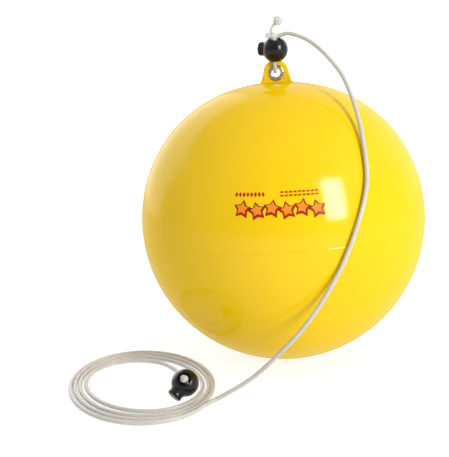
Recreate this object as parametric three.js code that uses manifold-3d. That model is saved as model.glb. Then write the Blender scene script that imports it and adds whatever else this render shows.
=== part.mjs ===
// A tetherball set: an inflated vinyl ball with a hanging lug and metal eyelet,
// a cord with a sprung ball-shaped cord lock at each end, and the slack of the cord coiled beside it.
// Millimetres, +Z up. The origin is on the ground, at the middle of the ball's resting patch.

import * as THREE from "three";
import { mergeVertices } from "three/addons/utils/BufferGeometryUtils.js";
import Module from "manifold-3d";

const wasm = await Module();
wasm.setup();

// ---------------------------------------------------------------- driving dimensions

const GAP = 0.3; // clearance between neighbouring pieces
const OVERCUT = 1; // how far a cutter stands out of the piece it cuts

const ROUND_SEGMENTS = 20; // round the small turned pieces
const CORD_SIDES = 8;
const CORD_STEP = 2; // between the rings of a short cord
const CORD_LONG_STEP = 10; // between the rings of the long cord
const CORD_END_STEP = 5;
const KNOT_SEGMENTS = 12;
const KNOT_ROWS = 8;
const CURVE_DIVISIONS = 600; // in which a curve's length is measured

const BALL_R = 115;
const BALL_WALL = 1.5;
const PATCH_R = 25; // radius of the flat patch that the ball rests on
const BALL_Z = Math.sqrt(BALL_R ** 2 - PATCH_R ** 2); // height of the ball's centre
const POLE_DIP = 3.8; // how far the skin sinks round the lug
const POLE_DIP_ANGLE = THREE.MathUtils.degToRad(30);
const SEAM_HEIGHT = 0.4;
const SEAM_WIDTH = 1.8;
const SKIN_ROWS = 12; // rows of facets from the pole to the seam
const SKIN_SEGMENTS = 48;

const VALVE_DIR = new THREE.Vector3(0, Math.cos(0.35), -Math.sin(0.35)); // low on the back
const VALVE_HOLE_R = 3.2;
const VALVE_BOSS_R = 7;
const VALVE_BOSS_DEPTH = 5;
const VALVE_HOLE_LENGTH = 20;
const PLUG_HEAD_R = 5;
const PLUG_HEAD_T = 1.2;
const PLUG_STEM_R = 2.85;
const PLUG_TIP_R = 2.2;
const PLUG_STEM_LENGTH = 12;

const LUG_THICKNESS = 2.4;
const LUG_R = 10.2; // round top of the lug, centred on the eyelet
const LUG_WAIST = 11.9; // half the lug's width over its foot
const LUG_FOOT = 15.5; // half the foot's width on the skin
const LUG_FOOT_RISE = 1.8;
const LUG_ARC_SEGMENTS = 14;
const LUG_HOLE_R = 4.2;
const EYELET_Z = 230.7;
const EYELET_HOLE_R = 3.25;
const EYELET_BARREL_R = 3.85;
const EYELET_FLANGE_R = 6.4;
const EYELET_RIM_R = 5.2;
const EYELET_PLATE_T = 0.5;
const EYELET_ROLL = 0.6; // width of the rounding at the eyelet's mouth
const EYELET_GAP = 0.15;

const LOCK_R = 10.1;
const LOCK_FLAT = 8.5; // half the height between the two flats round the cord hole
const LOCK_BORE_HALF_X = 2.1;
const LOCK_BORE_HALF_Y = 4;
const LOCK_BORE_CORNER = 2.05;
const LOCK_ROWS = 16;
const LOCK_SEGMENTS = 26;
const MOUTH_SEGMENTS = 16;
const SLOT_ARC_SEGMENTS = 6;
const LOCK_MOUTH_R = 4.9;
const LOCK_MOUTH_BASE_R = 4.1;
const LOCK_MOUTH_DEPTH = 2.2;
const LOCK_POCKET_R = 5.8;
const LOCK_POCKET_STEP = 7.4; // where the plunger's pocket ends, past the lock's centre
const LOCK_POCKET_END = 8.6; // where the narrower spring seat behind it ends
const PLUNGER_R = 5.5;
const PLUNGER_REACH = 13.4; // outer end, from the lock's centre
const PLUNGER_CHAMFER = 0.3;
const PLUNGER_EDGE = 1; // rounding of the outer end
const PLUNGER_INNER = 4.2;
const PLUNGER_SEAT_R = 3.4;
const PLUNGER_SEAT_DEPTH = 0.9;
const PLUNGER_SLOT_OUTER = 5.5;
const PLUNGER_SLOT_CORNER = 1;
const SPRING_R = 2.7;
const SPRING_WIRE_R = 0.25;
const SPRING_TURNS = 3.5;
const SPRING_STEPS_PER_TURN = 10;
const SPRING_SIDES = 5;

const UPPER_LOCK = new THREE.Vector3(0, -2.2, EYELET_Z + 18.1);
const UPPER_LOCK_TURN = THREE.MathUtils.degToRad(-22); // the plunger points left and a little back
const UPPER_LOCK_LEAN = THREE.MathUtils.degToRad(15); // the top leans to the front
const LOWER_LOCK = new THREE.Vector3(-75.2, -104.1, 13.9);
const LOWER_BORE_DIR = new THREE.Vector3(0.046, -0.748, 0.663).normalize();
const LOWER_PLUNGER_DIR = new THREE.Vector3(-0.621, -0.541, -0.567);

const CORD_R = 1.6;
const LOOP_CORD_R = 1.45; // the loop is stretched, so it is thinner
const LOOP_HALF_WIDTH = 4.2;
const LOOP_RISE = 4.4; // height over the eyelet's centre at which the loop turns in
const LOOP_LOW = 0.9; // height over the eyelet's centre at which the loop crosses the hole
const LOOP_BEND_STEPS = 8;
// The loop's strands: side steps and heights in the upper lock's hole, then the way down past the lug.
const STRAND_IN_LOCK = [[2.15, 7.3], [2.15, 3.5], [2.15, 0], [2.3, -5.9]];
const FRONT_STRAND = [[-0.3, -2.95, 239.7], [-0.1, -3.6, 237.8], [0, -4.1, 236]];
const BACK_STRAND = [[0.3, 3, 241.5], [0.1, 3.6, 239.1], [0, 4.1, 236.4]];

const JOINING_KNOT = new THREE.Vector3(-1, -4.9, 258.9);
const JOINING_KNOT_SIZE = [4.1, 3.6, 2.6];
const CUT_END = new THREE.Vector3(-5.2, -8.8, 259.7);
const TAIL_KNOT = new THREE.Vector3(2.7, -4.9, 270.9);
const TAIL_KNOT_R = 3.5;
const TAIL_ROUTE = [[-2.5, -4.9, 262.1], [-2.3, -4.9, 264], [-1.3, -4.9, 266], [0.2, -4.9, 267.8]];
const END_KNOT_R = 2.9;
const END_KNOT_OFFSET = 9.3; // from the lower lock's centre, in the mouth of its hole

// The cord's route from the joining knot, over in an arch, down the front of the ball to the coil.
const CORD_ROUTE = [
  [3.8, -4.7, 259.4], [7, -5.6, 260.2], [11, -7, 260.5], [22, -12.2, 256.5], [28.6, -16.5, 252.1],
  [35.6, -23, 245.6], [46.7, -37, 231.2], [50.3, -43.5, 224], [55.5, -55, 208.6],
  [58.9, -68, 190.6], [60, -76.2, 178.5], [60.6, -82.5, 169.4], [60.8, -87.2, 161.5],
  [59.9, -92.1, 153.1], [57.6, -97.3, 143.6], [54.2, -101.8, 133.3], [49.8, -105.7, 121.6],
  [44.2, -108.6, 108.3], [39, -110, 97.3], [25, -114.3, 74.8], [9, -115.6, 54], [-6.3, -114, 37.5],
  [-13.3, -112.7, 30.2], [-27.2, -110.4, 17.8], [-43.8, -109, 7.2], [-50.5, -109.4, 3.8],
  [-53.6, -110.3, 2.7],
];
const ARCH_LENGTH = 112; // the first part of that route, which follows the hanger

// The route from the inside of the coil into the lower lock's rear mouth.
const CORD_END_ROUTE = [
  [-92.2, -47.7, 1.8], [-88, -54, 1.8], [-84, -62, 1.8], [-80.6, -71.5, 1.8], [-78, -81, 2.1],
  [-76.2, -89.5, 3.3], [-75.5, -94.4, 5],
];

// Outer and inner outline of the coil on the ground: centre, half axes and the long axis' angle.
const COIL_OUTER = { x: -112.6, y: -75.1, long: 72.2, short: 57.6, angle: 115.3 };
const COIL_INNER = { x: -113, y: -74.8, long: 51, short: 36.6, angle: 134 };
const COIL_HEIGHT = 2 * CORD_R;
const COIL_SEGMENTS = 30;

// ---------------------------------------------------------------- materials

function plain(color, roughness, metalness = 0) {
  return new THREE.MeshStandardMaterial({ color, roughness, metalness });
}

const YELLOW_VINYL = plain(0xf7d500, 0.3);
const BLACK_PLASTIC = plain(0x141414, 0.25);
const WHITE_PLASTIC = plain(0xe6e2d8, 0.45);
const CREAM_CORD = plain(0xe3dccb, 0.5);
const NICKEL = plain(0xc9c7c0, 0.3, 1);
const SPRING_STEEL = plain(0xb4b4b4, 0.35, 1);

// ---------------------------------------------------------------- helpers

// A three.js geometry as a manifold solid.
function solid(geometry) {
  const source = geometry.clone();
  source.deleteAttribute("normal");
  source.deleteAttribute("uv");
  const welded = mergeVertices(source, 1e-4);
  return new wasm.Manifold(new wasm.Mesh({
    numProp: 3,
    vertProperties: Float32Array.from(welded.attributes.position.array),
    triVerts: Uint32Array.from(welded.index.array),
  }));
}

// A manifold solid as a three.js geometry.
function geometryOf(manifold) {
  const result = manifold.getMesh();
  const geometry = new THREE.BufferGeometry();
  geometry.setAttribute("position", new THREE.BufferAttribute(result.vertProperties, 3));
  geometry.setIndex(new THREE.BufferAttribute(result.triVerts, 1));
  geometry.computeVertexNormals();
  return geometry;
}

// A closed body of revolution round Z from [radius, height] pairs.
function turned(profile, segments) {
  const points = profile.map(([r, z]) => new THREE.Vector2(r, z));
  return new THREE.LatheGeometry(points, segments).rotateX(Math.PI / 2);
}

// A round bar along Z, centred on the origin.
function rod(radius, length) {
  return new THREE.CylinderGeometry(radius, radius, length, ROUND_SEGMENTS).rotateX(Math.PI / 2);
}

// Turns a geometry made round Z so that its Z points along a direction.
function aimed(geometry, direction) {
  const turn = new THREE.Quaternion().setFromUnitVectors(new THREE.Vector3(0, 0, 1), direction);
  return geometry.applyQuaternion(turn);
}

// A closed tube of round section along a curve, between two lengths measured along it.
function tube(curve, radius, step = CORD_STEP, sides = CORD_SIDES, from = 0, to = curve.getLength()) {
  const steps = Math.max(2, Math.round((to - from) / step));
  const total = curve.getLength();
  const points = [];
  for (let i = 0; i <= steps; i += 1) {
    points.push(curve.getPointAt(Math.min(1, (from + ((to - from) * i) / steps) / total)));
  }
  const section = new THREE.Shape();
  for (let i = 0; i < sides; i += 1) {
    const angle = (2 * Math.PI * i) / sides;
    const place = [radius * Math.cos(angle), radius * Math.sin(angle)];
    if (i === 0) section.moveTo(...place);
    else section.lineTo(...place);
  }
  section.closePath();
  return new THREE.ExtrudeGeometry(section, {
    steps,
    extrudePath: new THREE.CatmullRomCurve3(points),
  });
}

function smoothCurve(route) {
  const points = route.map((place) => (place.isVector3 ? place : new THREE.Vector3(...place)));
  const curve = new THREE.CatmullRomCurve3(points, false, "centripetal");
  curve.arcLengthDivisions = CURVE_DIVISIONS;
  return curve;
}

// A slightly lumpy ball for a tightened knot.
function knotLump([rx, ry, rz]) {
  return new THREE.SphereGeometry(1, KNOT_SEGMENTS, KNOT_ROWS).scale(rx, ry, rz);
}

function mesh(name, geometry, material) {
  const result = new THREE.Mesh(geometry, material);
  result.name = name;
  return result;
}

// ---------------------------------------------------------------- ball

// Distance from the ball's centre to its skin, at an angle from the upper pole.
function skinRadius(angle) {
  return BALL_R - POLE_DIP * Math.exp(-((angle / POLE_DIP_ANGLE) ** 2));
}

function skinPoint(angle, inset = 0) {
  const r = skinRadius(angle) - inset;
  return [r * Math.sin(angle), BALL_Z + r * Math.cos(angle)];
}

function outerSkinProfile() {
  const patchAngle = Math.PI - Math.asin(PATCH_R / BALL_R);
  const profile = [[0, BALL_Z + skinRadius(0)]];
  for (let i = 1; i < SKIN_ROWS; i += 1) {
    profile.push(skinPoint((i / SKIN_ROWS) * (Math.PI / 2)));
  }
  profile.push([BALL_R, BALL_Z + SEAM_WIDTH / 2]);
  profile.push([BALL_R + SEAM_HEIGHT, BALL_Z]);
  profile.push([BALL_R, BALL_Z - SEAM_WIDTH / 2]);
  for (let i = 1; i < SKIN_ROWS; i += 1) {
    profile.push(skinPoint(Math.PI / 2 + (i / SKIN_ROWS) * (patchAngle - Math.PI / 2)));
  }
  profile.push([PATCH_R, 0]);
  profile.push([0, 0]);
  return profile;
}

function innerSkinProfile() {
  const profile = [[0, BALL_Z + skinRadius(0) - BALL_WALL]];
  const floorAngle = Math.PI - Math.acos((BALL_Z - BALL_WALL) / (BALL_R - BALL_WALL));
  for (let i = 1; i <= SKIN_ROWS; i += 1) {
    profile.push(skinPoint((i / SKIN_ROWS) * floorAngle, BALL_WALL));
  }
  profile.push([0, BALL_WALL]);
  return profile;
}

function alongValve(geometry, distance) {
  const place = VALVE_DIR.clone().multiplyScalar(distance);
  return aimed(geometry, VALVE_DIR).translate(place.x, place.y, BALL_Z + place.z);
}

function ballSkin() {
  const outer = solid(turned(outerSkinProfile().reverse(), SKIN_SEGMENTS));
  const inner = solid(turned(innerSkinProfile().reverse(), SKIN_SEGMENTS / 2));
  const boss = solid(alongValve(rod(VALVE_BOSS_R, VALVE_BOSS_DEPTH), BALL_R - VALVE_BOSS_DEPTH / 2));
  const hole = solid(alongValve(rod(VALVE_HOLE_R, VALVE_HOLE_LENGTH), BALL_R));
  const skin = outer.subtract(inner).add(boss.intersect(outer)).subtract(hole);
  return mesh("ball_skin", geometryOf(skin), YELLOW_VINYL);
}

function valvePlug() {
  const underside = BALL_R + GAP;
  const geometry = turned([
    [0, -PLUG_STEM_LENGTH],
    [PLUG_TIP_R, -PLUG_STEM_LENGTH],
    [PLUG_STEM_R, -PLUG_STEM_LENGTH * 0.6],
    [PLUG_STEM_R, 0],
    [PLUG_HEAD_R, 0],
    [PLUG_HEAD_R, PLUG_HEAD_T * 0.5],
    [PLUG_HEAD_R * 0.75, PLUG_HEAD_T],
    [0, PLUG_HEAD_T],
  ], ROUND_SEGMENTS);
  return mesh("valve_plug", alongValve(geometry, underside), WHITE_PLASTIC);
}

// ---------------------------------------------------------------- lug and eyelet

function hangerLug() {
  const skinHeight = (x) => {
    const angle = Math.asin(x / (BALL_R - POLE_DIP));
    return BALL_Z + skinRadius(angle) * Math.cos(angle) + GAP;
  };
  const waistZ = skinHeight(LUG_WAIST) + LUG_FOOT_RISE;
  const outline = new THREE.Shape();
  outline.moveTo(0, skinHeight(0));
  outline.lineTo(LUG_FOOT / 2, skinHeight(LUG_FOOT / 2));
  outline.lineTo(LUG_FOOT, skinHeight(LUG_FOOT));
  outline.quadraticCurveTo(LUG_WAIST, skinHeight(LUG_WAIST), LUG_WAIST, waistZ);
  outline.lineTo(LUG_R, EYELET_Z);
  outline.absarc(0, EYELET_Z, LUG_R, 0, Math.PI, false);
  outline.lineTo(-LUG_WAIST, waistZ);
  outline.quadraticCurveTo(-LUG_WAIST, skinHeight(LUG_WAIST), -LUG_FOOT, skinHeight(LUG_FOOT));
  outline.lineTo(-LUG_FOOT / 2, skinHeight(LUG_FOOT / 2));
  outline.closePath();
  const hole = new THREE.Path();
  hole.absarc(0, EYELET_Z, LUG_HOLE_R, 0, 2 * Math.PI, true);
  outline.holes.push(hole);
  const geometry = new THREE.ExtrudeGeometry(outline, {
    depth: LUG_THICKNESS,
    bevelEnabled: false,
    curveSegments: LUG_ARC_SEGMENTS,
  });
  geometry.rotateX(Math.PI / 2);
  geometry.translate(0, LUG_THICKNESS / 2, 0);
  return mesh("hanger_lug", geometry, YELLOW_VINYL);
}

// The eyelet's pieces are turned round Z, then laid along Y with their front towards -Y.
function placedInLug(geometry) {
  return geometry.rotateX(Math.PI / 2).translate(0, 0, EYELET_Z);
}

function eyeletBarrel() {
  const front = LUG_THICKNESS / 2 + EYELET_GAP;
  const rimIn = -(LUG_THICKNESS / 2 + 2 * EYELET_GAP + EYELET_PLATE_T);
  const rimOut = rimIn - EYELET_PLATE_T;
  const mouth = EYELET_HOLE_R + EYELET_ROLL;
  const geometry = turned([
    [EYELET_HOLE_R, rimIn],
    [mouth, rimOut],
    [EYELET_RIM_R, rimOut],
    [EYELET_RIM_R, rimIn],
    [EYELET_BARREL_R, rimIn],
    [EYELET_BARREL_R, front],
    [EYELET_FLANGE_R, front],
    [EYELET_FLANGE_R - EYELET_PLATE_T, front + EYELET_PLATE_T],
    [mouth, front + EYELET_PLATE_T],
    [EYELET_HOLE_R, front],
    [EYELET_HOLE_R, rimIn],
  ], ROUND_SEGMENTS);
  return mesh("eyelet_barrel", placedInLug(geometry), NICKEL);
}

function eyeletWasher() {
  const inner = EYELET_BARREL_R + EYELET_GAP;
  const front = -(LUG_THICKNESS / 2 + EYELET_GAP);
  const back = front - EYELET_PLATE_T;
  const geometry = turned([
    [inner, back],
    [EYELET_FLANGE_R, back],
    [EYELET_FLANGE_R, front],
    [inner, front],
    [inner, back],
  ], ROUND_SEGMENTS);
  return mesh("eyelet_washer", placedInLug(geometry), NICKEL);
}

// ---------------------------------------------------------------- cord lock

// A rectangle in X and Y with rounded corners, run through Z.
function slotCutter(minX, maxX, halfY, cornerR, height) {
  const shape = new THREE.Shape();
  shape.moveTo(minX + cornerR, -halfY);
  shape.absarc(maxX - cornerR, -halfY + cornerR, cornerR, -Math.PI / 2, 0, false);
  shape.absarc(maxX - cornerR, halfY - cornerR, cornerR, 0, Math.PI / 2, false);
  shape.absarc(minX + cornerR, halfY - cornerR, cornerR, Math.PI / 2, Math.PI, false);
  shape.absarc(minX + cornerR, -halfY + cornerR, cornerR, Math.PI, 1.5 * Math.PI, false);
  const geometry = new THREE.ExtrudeGeometry(shape, {
    depth: height,
    bevelEnabled: false,
    curveSegments: SLOT_ARC_SEGMENTS,
  });
  return solid(mergeVertices(geometry).translate(0, 0, -height / 2));
}

// In a lock's own frame the cord hole runs along Z and the plunger points to -X.
function lockBodyGeometry() {
  const ball = solid(turned(halfCircle(LOCK_R, LOCK_ROWS), LOCK_SEGMENTS));
  const slab = solid(new THREE.BoxGeometry(4 * LOCK_R, 4 * LOCK_R, 2 * LOCK_FLAT));
  const bore = slotCutter(
    -LOCK_BORE_HALF_X, LOCK_BORE_HALF_X, LOCK_BORE_HALF_Y, LOCK_BORE_CORNER, 4 * LOCK_R,
  );
  const slope = (LOCK_MOUTH_R - LOCK_MOUTH_BASE_R) / LOCK_MOUTH_DEPTH;
  const mouth = turned([
    [0, LOCK_FLAT - LOCK_MOUTH_DEPTH],
    [LOCK_MOUTH_BASE_R, LOCK_FLAT - LOCK_MOUTH_DEPTH],
    [LOCK_MOUTH_R + slope * OVERCUT, LOCK_FLAT + OVERCUT],
    [0, LOCK_FLAT + OVERCUT],
  ], MOUTH_SEGMENTS);
  const upperMouth = solid(mouth);
  const lowerMouth = solid(mouth.clone().rotateX(Math.PI));
  const pocket = solid(turned([
    [0, -LOCK_POCKET_END],
    [PLUNGER_SEAT_R, -LOCK_POCKET_END],
    [PLUNGER_SEAT_R, -LOCK_POCKET_STEP],
    [LOCK_POCKET_R, -LOCK_POCKET_STEP],
    [LOCK_POCKET_R, 2 * LOCK_R],
    [0, 2 * LOCK_R],
  ], ROUND_SEGMENTS).rotateY(-Math.PI / 2));
  const body = ball.intersect(slab).subtract(bore).subtract(upperMouth).subtract(lowerMouth);
  return geometryOf(body.subtract(pocket));
}

function halfCircle(radius, rows) {
  const profile = [];
  for (let i = 0; i <= rows; i += 1) {
    const angle = Math.PI * (i / rows - 0.5);
    const onAxis = i === 0 || i === rows;
    profile.push([onAxis ? 0 : radius * Math.cos(angle), radius * Math.sin(angle)]);
  }
  return profile;
}

function plungerGeometry() {
  const barrel = solid(turned([
    [0, -PLUNGER_INNER + PLUNGER_SEAT_DEPTH],
    [PLUNGER_SEAT_R, -PLUNGER_INNER + PLUNGER_SEAT_DEPTH],
    [PLUNGER_SEAT_R, -PLUNGER_INNER],
    [PLUNGER_R - PLUNGER_CHAMFER, -PLUNGER_INNER],
    [PLUNGER_R, -PLUNGER_INNER + PLUNGER_CHAMFER],
    [PLUNGER_R, PLUNGER_REACH - PLUNGER_EDGE],
    [PLUNGER_R - PLUNGER_CHAMFER, PLUNGER_REACH - PLUNGER_CHAMFER],
    [PLUNGER_R - PLUNGER_EDGE, PLUNGER_REACH],
    [0, PLUNGER_REACH],
  ], ROUND_SEGMENTS).rotateY(-Math.PI / 2));
  const slot = slotCutter(
    -PLUNGER_SLOT_OUTER, LOCK_BORE_HALF_X, LOCK_BORE_HALF_Y, PLUNGER_SLOT_CORNER, 4 * PLUNGER_R,
  );
  return geometryOf(barrel.subtract(slot));
}

function springGeometry() {
  const start = PLUNGER_INNER - PLUNGER_SEAT_DEPTH + GAP + SPRING_WIRE_R;
  const end = LOCK_POCKET_END - GAP - SPRING_WIRE_R;
  const steps = Math.round(SPRING_TURNS * SPRING_STEPS_PER_TURN);
  const points = [];
  for (let i = 0; i <= steps; i += 1) {
    const angle = (2 * Math.PI * i) / SPRING_STEPS_PER_TURN;
    const x = start + ((end - start) * i) / steps;
    points.push(new THREE.Vector3(x, SPRING_R * Math.cos(angle), SPRING_R * Math.sin(angle)));
  }
  const curve = new THREE.CatmullRomCurve3(points);
  curve.arcLengthDivisions = CURVE_DIVISIONS;
  return tube(curve, SPRING_WIRE_R, curve.getLength() / steps, SPRING_SIDES);
}

function lockPieces(prefix) {
  return [
    mesh(`${prefix}_lock_body`, lockBodyGeometry(), BLACK_PLASTIC),
    mesh(`${prefix}_lock_plunger`, plungerGeometry(), BLACK_PLASTIC),
    mesh(`${prefix}_lock_spring`, springGeometry(), SPRING_STEEL),
  ];
}

function upperLock() {
  const group = new THREE.Group();
  group.position.copy(UPPER_LOCK);
  group.rotation.set(UPPER_LOCK_LEAN, 0, UPPER_LOCK_TURN);
  group.add(...lockPieces("upper"));
  return group;
}

function lowerLock() {
  const across = new THREE.Vector3().crossVectors(LOWER_PLUNGER_DIR, LOWER_BORE_DIR).normalize();
  const inward = new THREE.Vector3().crossVectors(across, LOWER_BORE_DIR);
  const frame = new THREE.Matrix4().makeBasis(inward, across, LOWER_BORE_DIR);
  const group = new THREE.Group();
  group.position.copy(LOWER_LOCK);
  group.quaternion.setFromRotationMatrix(frame);
  group.add(...lockPieces("lower"));
  return group;
}

// ---------------------------------------------------------------- cord

// A point of one of the loop's strands in the upper lock's hole. side is -1 for the front one.
function strandPoint(side, offset, height) {
  const turn = new THREE.Euler(UPPER_LOCK_LEAN, 0, UPPER_LOCK_TURN);
  return new THREE.Vector3(0, side * offset, height).applyEuler(turn).add(UPPER_LOCK);
}

// From the upper lock's top down one strand, through the eyelet and up the other strand.
function loopCord() {
  const down = STRAND_IN_LOCK.map(([offset, height]) => strandPoint(-1, offset, height));
  const up = STRAND_IN_LOCK.map(([offset, height]) => strandPoint(1, offset, height)).reverse();
  const bend = [];
  for (let i = 0; i <= LOOP_BEND_STEPS; i += 1) {
    const angle = (Math.PI * i) / LOOP_BEND_STEPS;
    bend.push([
      0,
      -LOOP_HALF_WIDTH * Math.cos(angle),
      EYELET_Z + LOOP_RISE - (LOOP_RISE - LOOP_LOW) * Math.sin(angle),
    ]);
  }
  const curve = smoothCurve([...down, ...FRONT_STRAND, ...bend, ...BACK_STRAND.toReversed(), ...up]);
  return mesh("loop_cord", tube(curve, LOOP_CORD_R), CREAM_CORD);
}

function joiningKnot() {
  const lump = solid(knotLump(JOINING_KNOT_SIZE).translate(...JOINING_KNOT.toArray()));
  const stubCurve = smoothCurve([JOINING_KNOT, JOINING_KNOT.clone().lerp(CUT_END, 0.5), CUT_END]);
  const stub = solid(tube(stubCurve, CORD_R));
  return mesh("joining_knot", geometryOf(lump.add(stub)), CREAM_CORD);
}

function tailPieces() {
  const curve = smoothCurve(TAIL_ROUTE);
  const knot = knotLump([TAIL_KNOT_R, TAIL_KNOT_R, TAIL_KNOT_R]).translate(...TAIL_KNOT.toArray());
  return [
    mesh("tail_cord", tube(curve, LOOP_CORD_R), CREAM_CORD),
    mesh("tail_knot", knot, CREAM_CORD),
  ];
}

function mainCord() {
  const curve = smoothCurve(CORD_ROUTE);
  return [
    mesh("cord_arch", tube(curve, CORD_R, CORD_LONG_STEP, CORD_SIDES, 0, ARCH_LENGTH), CREAM_CORD),
    mesh("cord_drop", tube(curve, CORD_R, CORD_LONG_STEP, CORD_SIDES, ARCH_LENGTH + GAP), CREAM_CORD),
  ];
}

function ellipse({ x, y, long, short, angle }, Kind) {
  const path = new Kind();
  path.absellipse(x, y, long, short, 0, 2 * Math.PI, false, THREE.MathUtils.degToRad(angle));
  return path;
}

function cordCoil() {
  const shape = ellipse(COIL_OUTER, THREE.Shape);
  shape.holes.push(ellipse(COIL_INNER, THREE.Path));
  const geometry = new THREE.ExtrudeGeometry(shape, {
    depth: COIL_HEIGHT,
    bevelEnabled: false,
    curveSegments: COIL_SEGMENTS,
  });
  return mesh("cord_coil", geometry, CREAM_CORD);
}

function cordEnd() {
  const onBore = (distance) => LOWER_LOCK.clone().addScaledVector(LOWER_BORE_DIR, distance);
  const stop = END_KNOT_OFFSET - END_KNOT_R - GAP;
  const route = [...CORD_END_ROUTE, onBore(-LOCK_FLAT), onBore(0), onBore(stop)];
  const knot = knotLump([END_KNOT_R, END_KNOT_R, END_KNOT_R]).translate(...onBore(END_KNOT_OFFSET).toArray());
  return [
    mesh("cord_end", tube(smoothCurve(route), CORD_R, CORD_END_STEP), CREAM_CORD),
    mesh("end_knot", knot, CREAM_CORD),
  ];
}

// ---------------------------------------------------------------- the set

const tetherball = new THREE.Group();
tetherball.add(ballSkin(), valvePlug());
tetherball.add(hangerLug(), eyeletBarrel(), eyeletWasher());
tetherball.add(upperLock(), lowerLock());
tetherball.add(loopCord(), joiningKnot(), ...tailPieces());
tetherball.add(...mainCord(), cordCoil(), ...cordEnd());

export default tetherball;
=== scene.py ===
"""A tetherball set: a glossy vinyl ball with a hanging lug, and a cord with a cord lock at each end.

The scene is in metres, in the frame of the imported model: +Z up, origin under the ball's centre. The sizes and
places below are in millimetres, and make_object turns them into metres.
"""

import math

import bpy
from mathutils import Matrix, Vector


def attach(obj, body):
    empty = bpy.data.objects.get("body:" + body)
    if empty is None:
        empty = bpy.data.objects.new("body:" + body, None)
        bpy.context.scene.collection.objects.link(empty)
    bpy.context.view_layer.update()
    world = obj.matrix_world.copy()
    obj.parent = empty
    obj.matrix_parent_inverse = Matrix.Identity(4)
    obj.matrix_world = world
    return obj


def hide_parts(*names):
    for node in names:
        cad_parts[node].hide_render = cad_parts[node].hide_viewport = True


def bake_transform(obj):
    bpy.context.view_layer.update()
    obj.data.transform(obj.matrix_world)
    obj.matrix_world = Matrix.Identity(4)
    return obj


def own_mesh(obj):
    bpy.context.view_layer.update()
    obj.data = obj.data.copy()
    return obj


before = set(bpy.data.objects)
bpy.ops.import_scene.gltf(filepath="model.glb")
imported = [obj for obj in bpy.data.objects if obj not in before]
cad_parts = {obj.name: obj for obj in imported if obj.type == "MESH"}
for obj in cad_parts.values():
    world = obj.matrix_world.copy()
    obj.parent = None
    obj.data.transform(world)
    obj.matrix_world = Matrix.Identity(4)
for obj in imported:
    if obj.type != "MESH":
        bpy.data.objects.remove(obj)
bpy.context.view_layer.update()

MM = 0.001

# ------------------------ driving dimensions, in millimetres

# The ball is a sphere on a flat resting patch, drawn in a little round the lug, with a fine seam at its middle.
BALL_R = 115
PATCH_R = 25
BALL_Z = math.sqrt(BALL_R ** 2 - PATCH_R ** 2)
POLE_DIP = 3.8
POLE_DIP_ANGLE = math.radians(30)
SEAM_HEIGHT = 0.2
SEAM_WIDTH = 1.5
PATCH_BLEND = 3.0

# The valve lies low on the back of the ball: a round hole at the bottom of a shallow recess, with a plug in it.
VALVE_ANGLE = 0.35
VALVE_HOLE_R = 3.2
VALVE_HOLE_DEPTH = 16
VALVE_RECESS_DEPTH = 1.1
PLUG_HEAD_R = 5
PLUG_HEAD_T = 1.2
PLUG_GAP = 0.3

# The lug is a flat tab with an eyelet through it, LUG_R to each side at the eyelet and LUG_WAIST lower down.
# At its foot a fillet adds the flares, low under the eyelet and tallest at the lug's two sides.
LUG_THICKNESS = 2.4
LUG_R = 10.2
LUG_WAIST = 11.9
LUG_FLARE_X = 3.3
LUG_FLARE_Y = 1.6
LUG_FILLET = 1.2
LUG_END_FILLET = 2.9
LUG_SINK = 0.15
LUG_SQUARENESS = 0.35
LUG_HOLE_R = 4.2
EYELET_Z = 230.7
EYELET_HOLE_R = 3.25
EYELET_BARREL_R = 3.85
EYELET_FLANGE_R = 6.4
EYELET_CROWN = 0.62
EYELET_RIM_R = 5.2
EYELET_GAP = 0.15
EYELET_PLATE = 0.5

# A cord lock. Its cord hole is an oblong with the half sides in LOCK_BORE.
LOCK_R = 10.1
LOCK_FLAT = 8.5
LOCK_FLAT_EDGE = 0.45
LOCK_BORE = (2.1, 4.0)
LOCK_BORE_CORNER = 2.05
LOCK_MOUTH_R = 4.9
LOCK_MOUTH_DEPTH = 2.2
LOCK_POCKET_R = 5.8
LOCK_POCKET_STEP = 7.4
LOCK_POCKET_END = 8.6
PLUNGER_R = 5.5
PLUNGER_REACH = 13.4
PLUNGER_INNER = 4.2
PLUNGER_SEAT_R = 3.4
PLUNGER_SEAT_DEPTH = 0.9
PLUNGER_SLOT_OUTER = 5.5
PLUNGER_SLOT_CORNER = 1.0
SPRING_R = 2.7
SPRING_WIRE_R = 0.25
SPRING_TURNS = 3.5
SPRING_GAP = 0.3
SPRING_START = PLUNGER_INNER - PLUNGER_SEAT_DEPTH + SPRING_GAP + SPRING_WIRE_R
SPRING_END = LOCK_POCKET_END - SPRING_GAP - SPRING_WIRE_R
CUTTER_LENGTH = 40

# Where the two locks are and how they are turned.
UPPER_LOCK = Vector((0, -2.2, EYELET_Z + 18.1))
UPPER_LOCK_TURN = math.radians(-22)
UPPER_LOCK_LEAN = math.radians(15)
LOWER_LOCK = Vector((-75.2, -104.1, 13.9))
LOWER_BORE_DIR = Vector((0.046, -0.748, 0.663)).normalized()
LOWER_PLUNGER_DIR = Vector((-0.621, -0.541, -0.567))

# The cord's radius where it lies free, and where it is stretched, knotted or frayed.
CORD_R = 1.6
LOOP_CORD_R = 1.45
JOINING_CORD_R = 1.5
CUT_END_FLARE = 0.6
TAIL_CORD_R = 1.35
TAIL_KNOT_CORD_R = 1.62
END_KNOT_CORD_R = 1.35
CORD_SIDES = 14
MAIN_STEP = 1.6
FINE_STEP = 0.7

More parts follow.
